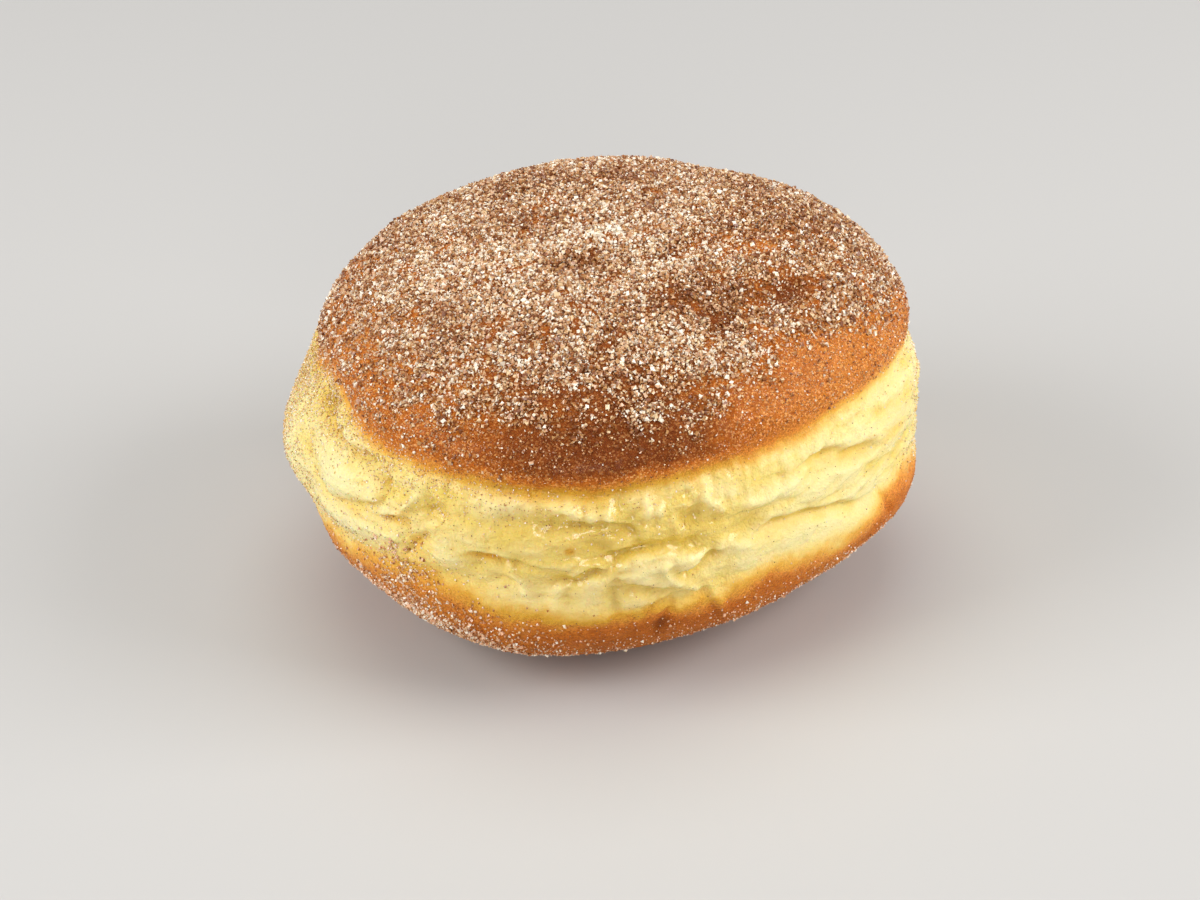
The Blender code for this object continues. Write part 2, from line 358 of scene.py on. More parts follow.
@dataclass
class DoughForm:
    """The doughnut's true form, with the sizes that the solid has too.

    middle is the centre of the whole on the floor, folds, swells and stains lie on the belly, and
    dents and the tables after it on the cap, where the sugar tints darken the sugar. The dark spots paint
    shade in the cap's dents, and the sugar tints are in part painted shade there too.
    """

    half_width: float = 42.9
    half_depth: float = 44.0
    waist_height: float = 24.0
    dome_rise: float = 28.0
    foot_cut: float = 0.8
    dome_fullness: float = 2.8
    base_fullness: float = 3.0
    three_lobes: float = 0.042
    four_lobes: float = 0.015
    skew: float = -0.009
    rise_to_the_right: float = 0.11
    rise_to_the_back: float = 0.04
    rise_at_both_sides: float = 0.07
    bulge: Swell = Swell(184.0, 23.5, 30.0, 6.5, 3.0)
    middle: tuple[float, float] = (0.4, 0.31)
    cap_edge: float = 36.2
    cap_edge_sways: tuple[Sway, ...] = rows(Sway,
        (-86, 26, -1.6), (-160, 16, 1.4), (70, 40, -1.2),
    )
    base_edge: float = 16.4
    base_edge_sways: tuple[Sway, ...] = rows(Sway,
        (-110, 12, 1.8), (-80, 11, -2.4), (-30, 14, 1.8), (80, 30, 1.4),
    )
    swells: tuple[Swell, ...] = rows(Swell,
        (182, 41, 26, 6, -1.2), (180, 31, 20, 3.6, -0.7), (188, 21.5, 18, 4, 0.6),
        (-160, 11.5, 14, 4.5, 0.9), (-20, 14.5, 20, 4.5, 1.3), (-166, 28, 6, 4, 0.5),
        (-156, 34.8, 3.2, 1.4, -1.4), (-142.5, 28.3, 7, 2.9, 1.4), (-132, 30.6, 2, 1.2, -0.7),
        (-122.5, 31.4, 1.8, 1.2, 0.4), (-120, 29.9, 2, 1.6, -0.9), (-117.5, 23.2, 3.6, 2, 0.9),
        (-104, 29.9, 6, 1.5, -0.8), (-98.5, 30.2, 3, 1.1, -0.4), (-101, 34.2, 7, 0.7, -0.3),
        (-98.5, 18.6, 1.9, 2.2, 0.45), (-92.4, 18.4, 2.6, 2.6, 0.6), (-91.2, 26, 2.6, 1.4, -1),
        (-87, 26.6, 1.8, 1.1, 0.3), (-84, 22.1, 3.6, 1.4, 0.6), (-84, 17.2, 3.8, 1.8, 0.5),
        (-75.6, 28.4, 2.6, 1.6, -1), (-75.5, 22.6, 2.6, 0.9, 0.45), (-70.6, 27.1, 2.8, 1.2, -0.7),
        (-64, 25.3, 3.4, 1.5, -0.9), (-64, 19, 3.4, 2.6, 0.4), (-60, 26.6, 3.6, 1, -0.6),
        (-50, 19.4, 12, 1.7, 0.6), (-46, 26.2, 11, 2, 0.5), (-14, 32.5, 7, 2.2, 0.5),
        (20, 20, 12, 2.4, 0.7), (70, 25.5, 10, 3, 0.8), (122, 28, 10, 2.6, 0.7),
    )
    folds: tuple[Fold, ...] = rows(Fold,
        (((-163, 36), (-156, 35), (-151, 33.5), (-147, 32.8), (-142, 32.1), (-136, 32.7),
         (-131, 33.1)), 0.8, -1.1, 0.4),
        (((-155, 37.8), (-148.5, 36.9), (-146.5, 35.4), (-146.5, 33.6), (-144, 32.2)), 0.6, -0.9),
        (((-131.4, 32.2), (-131, 29.8), (-134, 26.7), (-140, 25), (-146, 24.4),
         (-151, 25.6)), 0.6, -0.9),
        (((-152, 22), (-143, 22.1), (-137, 22.6), (-131, 23.4), (-127, 23.9)), 1.4, 0.7),
        (((-134, 25.6), (-128, 27.5), (-125, 29.9), (-122, 31.4)), 0.55, 0.7),
        (((-134, 24.9), (-128, 26.3), (-124.6, 26.7)), 0.55, -0.7, 0.3),
        (((-127.5, 21.4), (-125.6, 22.4), (-124, 23.8), (-122, 25.4), (-120.6, 26.2)), 0.6, -0.9),
        (((-114, 24.2), (-111, 24.5), (-109, 24.3), (-107, 23.6), (-104, 23.5)), 0.5, -1.1, 0.4),
        (((-106, 23.6), (-106, 22), (-104.4, 20.4), (-104, 18.4)), 0.5, 0.75),
        (((-110, 32), (-106, 32.8), (-103, 33), (-97, 32.2), (-94, 31.4), (-89, 30.6)), 0.8, 0.8),
        (((-103, 23.9), (-100, 23.6), (-97, 23.6), (-94.5, 24.6)), 0.6, 0.6),
        (((-97, 21.8), (-94.5, 23.2), (-92.5, 23.5), (-90.5, 22.8)), 0.55, 0.7),
        (((-101, 20.2), (-97, 21), (-95, 21.2), (-93.5, 22.2), (-91, 22.6)), 0.45, -0.8, -0.4),
        (((-96.4, 20.4), (-96.4, 18.1), (-95.4, 16.6)), 0.6, -0.28),
        (((-89.6, 20.5), (-88.8, 18.2), (-89.2, 15.6)), 0.6, -0.35),
        (((-87.8, 20), (-87.2, 17.6), (-87.4, 16)), 0.6, 0.3),
        (((-97, 29.9), (-94, 29.9), (-89, 29.1), (-85.6, 28.3), (-84.2, 27.2)), 0.55, -0.6, 0.4),
        (((-70, 23.6), (-76, 24.4), (-80, 25.1), (-84, 25.2), (-88, 24.4),
         (-89.6, 23.2)), 0.6, -1.15, -0.5),
        (((-89.5, 21.4), (-88, 20.5), (-84, 19.8), (-82, 19), (-79, 18.3)), 0.55, -0.7, 0.35),
        (((-80, 23.6), (-80, 22.1), (-79, 20.6), (-77, 19.2), (-74, 17.8), (-72, 16.1)), 0.6, 0.8),
        (((-77.5, 20.4), (-74.5, 20.7), (-73, 21.5), (-71, 22.4), (-68.5, 21.6)), 0.5, -1, 0.5),
        (((-70, 24.1), (-67, 23.4), (-65, 22.3), (-62, 21.4)), 0.7, 0.6),
        (((-71.5, 18), (-70, 15.4), (-68, 13.2), (-66, 9.9)), 0.7, 0.45),
        (((-72.8, 17.6), (-71.4, 15), (-69.4, 12.4), (-67.6, 9.6)), 0.6, -0.3),
        (((-78, 17.4), (-79, 14.5), (-80.5, 11.6), (-82, 9.3)), 0.9, -0.6),
        (((-89.6, 30.8), (-88.2, 29.5)), 0.45, 0.5), (((-83.6, 32.6), (-82.4, 30.6)), 0.45, 0.6),
        (((-80.8, 31), (-79.8, 29.2)), 0.4, 0.5), (((-78.6, 29.4), (-77.6, 26.6)), 0.45, 0.5),
        (((-74.8, 33.6), (-73.6, 31)), 0.4, 0.5),
        (((-72.2, 31.6), (-71, 29.6), (-68, 28.1)), 0.6, 0.7),
        (((-66, 28.9), (-61, 28.2), (-58, 28.2), (-54, 28.9), (-49, 29.3)), 0.8, 0.7),
        (((-61.5, 22.9), (-58, 23.6), (-54, 23.5), (-50, 22.9), (-47, 22.2), (-42, 21.4), (-36, 19.9),
         (-29, 18.8)), 0.55, -1.2, 0.4),
        (((-50, 30.1), (-47, 30.3), (-43, 30.2), (-40, 29.5), (-35, 28.1),
         (-28, 26.2)), 0.7, -0.9, 0.4),
        (((-29, 20.4), (-27, 18), (-24.5, 14.6)), 0.6, -0.8),
        (((-34, 24.6), (-26, 23.8), (-18, 23.6)), 0.6, -0.5, 0.25),
        (((-10, 28), (-2, 26.4), (8, 24.6), (20, 24.4), (32, 25.8)), 0.9, -0.7, 0.3),
        (((-6, 21.5), (8, 20), (20, 20.8)), 0.7, -0.7, 0.3),
        (((20, 31.4), (32, 29.6), (44, 29.4), (58, 31)), 0.8, -0.8, 0.35),
        (((46, 23.6), (58, 21.4), (70, 20.9), (88, 23.5)), 0.8, -1, 0.4),
        (((62, 27.6), (74, 26), (84, 27)), 0.6, -0.6, 0.3),
        (((76, 31), (86, 28.4), (98, 28.2), (112, 30)), 0.8, -0.9, 0.35),
        (((102, 22.2), (114, 24.6), (126, 24), (140, 21.5)), 0.8, -1.1, 0.4),
        (((120, 20.6), (132, 18.8), (142, 19.4)), 0.6, -0.6, 0.3),
        (((130, 31.6), (140, 28.8), (152, 28.6), (162, 31.5)), 0.8, -0.9, 0.35),
        (((150, 24), (160, 21.6), (172, 22.4)), 0.7, -0.7, 0.3),
        (((117, 17.6), (119, 13.6), (122, 9.6)), 0.8, -0.7),
        (((35, 17.6), (33, 14), (30, 10.6)), 0.8, -0.7), (((74, 17.6), (76, 12.6)), 0.7, -0.5),
    )
    fold_depth: float = 0.66
    fold_depth_sways: tuple[Sway, ...] = rows(Sway, (-90, 85, 0.34))
    brown_edge: float = 35.6
    brown_edge_sways: tuple[Sway, ...] = rows(Sway,
        (-158, 12, 2.5), (-92, 9, -0.5), (-58, 14, -0.7), (-15, 22, 1.2), (100, 40, 0.6),
    )
    brown_foot: float = 15.6
    brown_foot_sways: tuple[Sway, ...] = rows(Sway,
        (-146, 12, 1.6), (-126, 13, 4.8), (-84, 20, -0.3), (-57, 6, 1.6), (-34, 10, -0.8),
        (-20, 13, 4.6), (60, 30, 1), (140, 14, 1.8),
    )
    foot_softness: float = 2.4
    foot_softness_sways: tuple[Sway, ...] = rows(Sway, (-130, 22, 1.2), (-86, 16, -0.6))
    cap_tone: float = 0.66
    cap_tones: tuple[Swell, ...] = rows(Swell,
        (-88, 4.5, 26, 4.5, 0.22), (-170, 8, 30, 7, -0.03), (-35, 3, 26, 6, -0.15),
    )
    base_tone: float = 0.63
    base_tone_sways: tuple[Sway, ...] = rows(Sway, (-86, 34, 0.15), (-16, 15, 0.12), (-130, 24, -0.05))
    stains: tuple[Swell, ...] = rows(Swell,
        (-110.5, 24.1, 3.2, 0.55, 0.34), (-96, 26, 0.8, 0.6, 0.42), (-126, 27.6, 1.6, 1.4, 0.12),
        (-140, 24.6, 6, 0.7, 0.12), (-129.5, 26, 3.6, 0.6, 0.22), (-124.4, 23.4, 1.6, 1.4, 0.22),
        (-80.5, 12.5, 1.6, 3.6, 0.16), (-36, 28.6, 7, 0.9, 0.12), (-24, 27.2, 5, 1, 0.14),
        (-18, 30.6, 6, 0.9, 0.12), (-28, 31.6, 5, 0.7, 0.1),
    )
    waxy_patches: tuple[Swell, ...] = rows(Swell, (-88, 26, 27, 7.5, 1), (-124, 30, 9, 3, 0.6))
    dents: tuple[Dent, ...] = rows(Dent,
        (21.5, -20, 38, 8, 3.6, -2.2), (17.5, -24, 20, 3.2, 1.8, -0.8),
        (27.5, -16, 50, 3.2, 1.8, -0.8), (30.5, -13.5, 60, 5.5, 3, 0.5), (-2.5, -9.5, 0, 4.5, 3, -1.5),
        (10, -10, 30, 4.5, 3, -0.8), (-19, 14, -40, 8, 5, -0.9), (12, 21, 10, 7, 4.5, -1),
        (-20, 30, 25, 14, 10, -1),
    )
    # Painted shade: the crust is browned darker in the cap's dents; the last spot lightens a bare patch.
    dent_shade_spots: tuple[Dent, ...] = rows(Dent,
        (17.4, -23.9, 20, 3.4, 2, 0.35), (26.5, -16.8, 50, 3.4, 2, 0.3),
        (-2.7, -9.6, 0, 3.6, 2.4, 0.42), (9.7, -9.9, 30, 3, 2, 0.3), (23.3, -9.8, 20, 4.6, 2.2, -0.12),
    )
    # Random tones of the sugar, and painted shade: the sugar is darker in the cap's dents.
    sugar_tints_and_shade: tuple[Dent, ...] = rows(Dent,
        (-18, -12, 20, 12, 7, -0.6), (2, -3.4, 0, 7, 3, -0.8), (12, -30, 15, 12, 3.5, -0.4),
        (-10, 4, 0, 11, 5, 0.2), (6, 18, 0, 16, 5, 0.9), (-33, 8, 60, 10, 4, 0.3),
        (25, 2, 10, 9, 5, 0.6), (18, -21, 38, 10, 4, 0.6), (-2.1, -9.8, 0, 4, 2.6, 1.3),
        (11.2, -20.3, 20, 3.6, 2, 0.9), (0, -42, 0, 20, 5.5, 1.7), (-31, -10, 90, 14, 4, -0.3),
        (-0.5, -24.5, 20, 2.2, 1.5, -1.3), (-1.8, -27.9, 0, 1.7, 1.4, -1.3),
        (20, -27.5, 40, 2.4, 2, -1.2), (7.2, -37.8, 0, 3.4, 1.3, -2), (16.9, -34.1, 20, 2, 1.3, -1.2),
        (-3.7, -14.4, 0, 2.4, 1.4, -1), (10.7, -27.1, 20, 4.4, 2.2, -0.7), (10, -13, 20, 3.6, 2, -0.6),
    )
    bare_rim: float = 3.6
    bare_rim_sways: tuple[Sway, ...] = rows(Sway, (-38, 26, 5.4), (-92, 26, 2.4), (-158, 34, -2))
    bare_patches: tuple[Dent, ...] = rows(Dent,
        (23.8, -8.8, 15, 4.8, 2.2, 0.8), (30, -14, 55, 5, 2, 0.7), (17.2, -24.2, 20, 2.8, 1.7, 0.8),
        (26.8, -16.6, 50, 2.8, 1.7, 0.8), (-3, -9.8, 0, 3, 1.8, 0.8), (9.8, -9.8, 30, 2.6, 1.6, 0.6),
        (21, -19.5, 38, 5.5, 2.2, 0.6), (13.5, -22.2, -20, 2.6, 1.1, 0.85),
        (13.5, -34.1, 0, 1.8, 1.2, 0.7), (0.7, -31.6, -70, 2.4, 1, 0.85),
        (-2.6, -25, 90, 1.9, 1, 0.85), (6.3, -33.1, 0, 2.2, 1, 0.75), (8.4, -35.8, -20, 2.4, 1, 0.75),
        (-6.9, -36.3, 0, 3, 1, 0.7), (-9.6, -34.3, 0, 2.4, 1, 0.7), (10.1, -19.3, 30, 2.4, 1.1, 0.85),
        (-27.2, -14.2, 10, 2.8, 1.6, 0.6), (-15.2, -26.3, 20, 2.6, 1.4, 0.5),
        (-35, 6, 75, 8, 2.4, 0.5),
    )
    under_sugar: float = 0.35
    slow_waves: tuple[tuple[float, float, float, float], ...] = (
        (3, 0.9, 0.4, 0.28),
        (5, 1.6, 2.1, 0.22),
        (8, 2.2, 4.0, 0.14),
    )
    waves: Waves = field(default_factory=lambda: Waves(5))

    def above_cap_edge(self, azimuth: Array, height: Array) -> Array:
        """How far each place lies above the lower edge of the cap's crust."""
        return height - swayed(azimuth, self.cap_edge, self.cap_edge_sways)

    def plan_radius(self, azimuth: Array) -> Array:
        """The radius of the waist, seen from above.

        Args:
            azimuth: directions seen from above.

        Returns:
            One radius for each direction.
        """
        angle = np.radians(azimuth)
        across = self.half_depth * np.cos(angle)
        along = self.half_width * np.sin(angle)
        oval = self.half_width * self.half_depth / np.hypot(across, along)
        lobes = self.three_lobes * np.cos(3 * angle) + self.four_lobes * np.cos(4 * angle)
        return oval * (1.0 + lobes + self.skew * np.sin(2 * angle))

    def smooth_body(self, azimuth: Array, slope: Array) -> tuple[Array, ...]:
        """The plain body before its relief.

        Args:
            azimuth: directions seen from above.
            slope: angles above the waist, seen from the waist's centre.

        Returns:
            Radius, height, and the outward direction's share along the radius and along +Z.
        """
        angle = np.radians(azimuth)
        out = np.cos(np.radians(slope))
        up = np.sin(np.radians(slope))
        to_right = np.cos(angle) * out
        lift = 1.0 + self.rise_to_the_right * to_right + self.rise_at_both_sides * to_right**2
        lift = lift + self.rise_to_the_back * np.sin(angle) * out
        rise = np.where(up > 0, self.dome_rise * lift, self.waist_height + self.foot_cut)
        fullness = np.where(up > 0, self.dome_fullness, self.base_fullness)
        waist = self.plan_radius(azimuth)
        reach = ((out / waist) ** fullness + (np.abs(up) / rise) ** fullness) ** (-1.0 / fullness)
        height = self.waist_height + reach * up
        radius = reach * out
        slant_out = radius ** (fullness - 1) / waist**fullness
        slant_up = np.sign(up) * np.abs(reach * up) ** (fullness - 1) / rise**fullness
        steep = np.hypot(slant_out, slant_up)
        return radius + self.bulge.at(azimuth, height), height, slant_out / steep, slant_up / steep

    def points(self, azimuth: Array, slope: Array) -> SkinPoints:
        """The finished skin.

        Args:
            azimuth: directions seen from above.
            slope: angles above the waist, seen from the waist's centre.

        Returns:
            Places in millimetres round the centre of the floor, and what shows at each.
        """
        radius, height, out, up = self.smooth_body(azimuth, slope)
        angle = np.radians(azimuth)
        over_cap_edge = self.above_cap_edge(azimuth, height)
        over_base_edge = height - swayed(azimuth, self.base_edge, self.base_edge_sways)
        belly = smooth_step(over_cap_edge, 0.5, -1.5) * smooth_step(over_base_edge, -1.0, 1.5)
        on_top = np.clip((height - self.waist_height) / self.dome_rise, 0.0, 1.0)
        body = np.stack([radius * np.cos(angle), radius * np.sin(angle), height], axis=-1)
        plain = PlainPoints(azimuth, body, over_cap_edge, over_base_edge, belly, on_top)

        creases = self.creases(plain)
        browning = self.browning(plain)
        sugar = self.sugar_share(plain)
        relief = self.rim_relief(plain) + creases + self.crust_relief(plain) - self.under_sugar * sugar
        radius = radius + relief * out
        height = np.maximum(height + relief * up, 0.0)
        places = np.stack([radius * np.cos(angle), radius * np.sin(angle), height], axis=-1)
        waxy = self.waxy_share(plain, height, creases)
        return SkinPoints(
            places=places - (*self.middle, 0.0),
            browning=browning,
            # painted shade: the hollow mask darkens the colour in the belly's creases
            hollow_shade=np.clip(-creases - 0.12, 0.0, 1.0) * belly,
            # painted highlight: the ridge mask lightens the colour on the belly's crests
            ridge_highlight=np.clip(creases * 1.3 - 0.1, 0.0, 1.0) * belly,
            waxy=waxy,
            moist=waxy * (0.16 + 0.84 * plain.facing(-84, 30)),
            # a darker, duller ochre where the browning begins, on the front only
            ochre=plain.facing(-92, 32) * bump(browning - 0.3, 0.24),
            cap=smooth_step(over_cap_edge, -0.8, 1.2),
            belly=belly,
            sugar=sugar,
            tint_and_shade=self.sugar_tint_and_shade(plain),
        )

    def rim_relief(self, plain: PlainPoints) -> Array:
        """The rounded rim of the cap with the groove and swell under it, and the base's groove.

        Args:
            plain: places on the plain body.

        Returns:
            One value for each place.
        """
        over = plain.over_cap_edge
        relief = 0.45 * bump(over - 2.4, 2.2) - 0.75 * bump(over + 1.2, 1.3) + 0.45 * bump(over + 8.0, 3.5)
        return relief - 0.5 * bump(plain.over_base_edge - 2.0, 1.7)

    def creases(self, plain: PlainPoints) -> Array:
        """How far the folds, pillows and wrinkles of the belly stand out.

        Args:
            plain: places on the plain body.

        Returns:
            One value for each place.
        """
        azimuth = plain.azimuth + 0.9 * self.waves.layered(plain.places, 7.0, 2)
        height = plain.height + 0.45 * self.waves.layered(plain.places + 40.0, 5.0, 2)
        depth = swayed(plain.azimuth, self.fold_depth, self.fold_depth_sways)
        creases = np.zeros(azimuth.shape)
        for fold in self.folds:
            creases += depth * fold.relief(azimuth, height, self.half_width)
        for swell in self.swells:
            creases += swell.at(azimuth, height)
        return creases + plain.belly * self.wrinkles(plain)

    def wrinkles(self, plain: PlainPoints) -> Array:
        """Small random relief: wrinkles where the skin is slack, streaks below the cap and pores.

        Args:
            plain: places on the plain body.

        Returns:
            One value for each place.
        """
        waves, places = self.waves, plain.places
        front = plain.facing(-84, 24)
        slack = 0.35 + 0.65 * smooth_step(waves.at(places + 9.0, (17.0, 17.0, 9.0)), -0.3, 0.5)
        wrinkles = -0.34 * waves.ridged(places, (10.0, 10.0, 3.0))
        wrinkles -= 0.2 * waves.ridged(places + 31.0, (4.6, 4.6, 1.5))
        wrinkles += 0.3 * waves.layered(places + 3.0, (6.0, 6.0, 1.8), 3)
        wrinkles += 0.17 * waves.layered(places + 43.0, (2.6, 2.6, 0.9), 2)
        streaks = (0.2 + 0.32 * front) * waves.layered(places + 77.0, (1.7, 1.7, 7.0), 2)
        pores = 0.07 * waves.layered(places + 55.0, 1.1, 2)
        return np.maximum(slack, front) * wrinkles + bump(plain.over_cap_edge + 4.0, 3.5) * streaks + pores

    def crust_relief(self, plain: PlainPoints) -> Array:
        """The dents of the cap, the slow unevenness of the whole and the bumps of the crust.

        Args:
            plain: places on the plain body.

        Returns:
            One value for each place.
        """
        places = plain.places
        relief = sum(dent.at(places) for dent in self.dents) * plain.on_top
        spread = (np.hypot(places[:, 0], places[:, 1]) / self.half_width) ** 2
        for round_turns, up_turns, phase, depth in self.slow_waves:
            wave = np.sin(round_turns * np.radians(plain.azimuth) + phase)
            relief += depth * spread * wave * np.cos(up_turns * math.tau * plain.height / 50.0 + phase)
        bumps = 0.16 * self.waves.layered(places + 63.0, 5.5, 3)
        bumps += 0.045 * self.waves.layered(places + 91.0, 1.4, 2)
        return relief + (1.0 - plain.belly) * bumps

    def waxy_share(self, plain: PlainPoints, height: Array, creases: Array) -> Array:
        """How waxy the belly looks, from none to one, least on the crests of the creases.

        Args:
            plain: places on the plain body.
            height: heights of the finished skin.
            creases: how far the creases stand out.

        Returns:
            One value for each place.
        """
        waxy = 0.2 + 0.6 * self.waves.layered(plain.places + 12.0, (7.0, 7.0, 3.5), 3)
        waxy += sum(patch.at(plain.azimuth, height) for patch in self.waxy_patches)
        return np.clip(waxy - 0.5 * np.clip(creases, 0.0, 1.0), 0.0, 1.0) * plain.belly

    def sugar_tint_and_shade(self, plain: PlainPoints) -> Array:
        """How much darker the sugar is at each place, below none where it is lighter, in part painted shade
        in the cap's dents.
        """
        tint_and_shade = 0.6 * self.waves.layered(plain.places + 26.0, 10.0, 3)
        return tint_and_shade + sum(spot.at(plain.places) for spot in self.sugar_tints_and_shade) * plain.on_top

    def browning(self, plain: PlainPoints) -> Array:
        """How brown the dough is fried, from none on the belly to one where it is darkest.

        Args:
            plain: places on the plain body.

        Returns:
            One value for each place.
        """
        waves, places, height, azimuth = self.waves, plain.places, plain.height, plain.azimuth
        ragged = 0.45 * waves.layered(places + 5.0, 4.0, 3) + 0.25 * waves.layered(places + 8.0, 1.2, 2)
        tone = self.cap_tone + 0.1 * smooth_step(plain.over_cap_edge, 6.0, 12.0)
        tone += sum(patch.at(azimuth, plain.over_cap_edge) for patch in self.cap_tones)
        tone += 0.06 * waves.layered(places + 21.0, 9.0, 3)
        edge = height - swayed(azimuth, self.brown_edge, self.brown_edge_sways) + ragged
        cap = tone * smooth_step(edge, -2.4, 1.6) ** 0.9
        cap += (0.04 + 0.13 * plain.facing(-88, 24)) * smooth_step(edge, -3.7, -1.3)
        # painted shade: darker crust in the cap's dents
        cap += sum(spot.at(places) for spot in self.dent_shade_spots) * (height > self.waist_height)
        low = swayed(azimuth, self.base_tone, self.base_tone_sways)
        low += 0.06 * waves.layered(places + 2.0, 7.0, 3)
        rise = height - swayed(azimuth, self.brown_foot, self.brown_foot_sways) + 1.8 * ragged
        softness = swayed(azimuth, self.foot_softness, self.foot_softness_sways)
        base = low * smooth_step(rise / softness, 1.1, -1.9) ** 1.2
        base += sum(stain.at(azimuth, height) for stain in self.stains)
        return np.clip(cap + base, 0.0, 1.0)

    def sugar_share(self, plain: PlainPoints) -> Array:
        """How thick the sugar lies on the cap, from none to one.

        Args:
            plain: places on the plain body.

        Returns:
            One value for each place.
        """
        over, places = plain.over_cap_edge, plain.places
        bare_rim = swayed(plain.azimuth, self.bare_rim, self.bare_rim_sways)
        drifts = self.waves.layered(places + 14.0, 6.0, 3)
        share = smooth_step(over - bare_rim + 2.0 * drifts, -3.0, 6.5)
        left = plain.facing(-178, 46) * smooth_step(plain.height, 49.5, 43.0)
        share *= 1.0 - 0.6 * left
        share = np.maximum(share, 0.34 * left * smooth_step(over, -0.4, 1.2))
        share *= 0.6 + 0.5 * smooth_step(drifts, -0.5, 0.35)
        for patch in self.bare_patches:
            share *= 1.0 - patch.at(places)
        share *= 0.3 + 0.8 * smooth_step(self.waves.layered(places + 61.0, 2.3, 2), -0.42, 0.05)
        return np.clip(share, 0.0, 1.0)


@dataclass
class Graph:
    """The nodes of a material or group, with short ways to add them."""

    tree: NodeTree

    def fill(self, node: Node, values: dict[str | int, object]) -> Node:
        """Link inputs of a node to sockets, or set them to numbers and colours.

        Args:
            node: the node.
            values: a socket, number or colour for each input, by its name or place.

        Returns:
            The node.
        """
        for name, value in values.items():
            socket = node.inputs[name]
            if isinstance(value, NodeSocket):
                self.tree.links.new(value, socket)
            elif isinstance(value, tuple) and len(value) < len(socket.default_value):
                socket.default_value = (*value, 1.0)
            else:
                socket.default_value = value
        return node

    def node(self, kind: str, values: dict[str | int, object], **settings: object) -> Node:
        """Add a node.

        Args:
            kind: the type of node.
            values: what its inputs are filled with.
            settings: values of its own properties.

        Returns:
            The node.
        """
        node = self.tree.nodes.new(kind)
        for name, value in settings.items():
            setattr(node, name, value)
        return self.fill(node, values)

    def attribute(self, name: str) -> NodeSocket:
        """The values that the mesh holds under a name."""
        return self.node("ShaderNodeAttribute", {}, attribute_name=name).outputs["Fac"]

    def group(self, group: NodeTree, **values: float) -> Node:
        """A shader group with its inputs set."""
        return self.node("ShaderNodeGroup", values, node_tree=group)

    def texture(self, kind: str, size: object, **values: float) -> Node:
        """A texture in the object's own space, of features as wide as the size in millimetres."""
        place = self.node("ShaderNodeTexCoord", {}).outputs["Object"]
        return self.node(kind, {"Vector": place, "Scale": self.maths("DIVIDE", 1.0 / MM, size), **values})

    def maths(self, operation: str, first: object, second: object = 0.0, clamp: bool = False) -> NodeSocket:
        """The result of one Math node on sockets or numbers."""
        values = {0: first, 1: second}
        return self.node("ShaderNodeMath", values, operation=operation, use_clamp=clamp).outputs[0]

    def plus(self, first: object, second: object, clamp: bool = False) -> NodeSocket:
        """The sum of two sockets or numbers, held between none and one if clamped."""
        return self.maths("ADD", first, second, clamp)

    def times(self, first: object, second: object) -> NodeSocket:
        """The product of two sockets or numbers."""
        return self.maths("MULTIPLY", first, second)

    def off_middle(self, value: object) -> NodeSocket:
        """How far a value lies above a half."""
        return self.maths("SUBTRACT", value, 0.5)

    def between(self, value: object, start: float, end: float, low: float, high: float) -> NodeSocket:
        """The value mapped from start and end to low and high, and held between them."""
        values = {"Value": value, "From Min": start, "From Max": end, "To Min": low, "To Max": high}
        return self.node("ShaderNodeMapRange", values).outputs["Result"]

    def mix(self, share: object, under: object, over: object, blend: str = "MIX") -> NodeSocket:
        """One colour over another, or blended with it in another way."""
        values = {0: share, 6: under, 7: over}
        return self.node("ShaderNodeMix", values, data_type="RGBA", blend_type=blend).outputs[2]

    def ramp(self, value: object, colours: tuple[tuple[float, Colour], ...]) -> NodeSocket:
        """A colour for each value.

        Args:
            value: the socket that is read.
            colours: positions from none to one, each with its colour.

        Returns:
            The colour.
        """
        node = self.node("ShaderNodeValToRGB", {"Fac": value})
        stops = node.color_ramp.elements
        while len(stops) < len(colours):
            stops.new(1.0)
        for stop, (position, colour) in zip(stops, colours):
            stop.position = position
            stop.color = (*colour, 1.0)
        return node.outputs["Color"]


def new_material(name: str, values: dict[str, object]) -> Material:
    """A node material.

    Args:
        name: its name.
        values: numbers and colours for inputs of its shader.

    Returns:
        The material.
    """
    material = bpy.data.materials.new(name)
    material.use_nodes = True
    Graph(material.node_tree).fill(material.node_tree.nodes["Principled BSDF"], values)
    return material


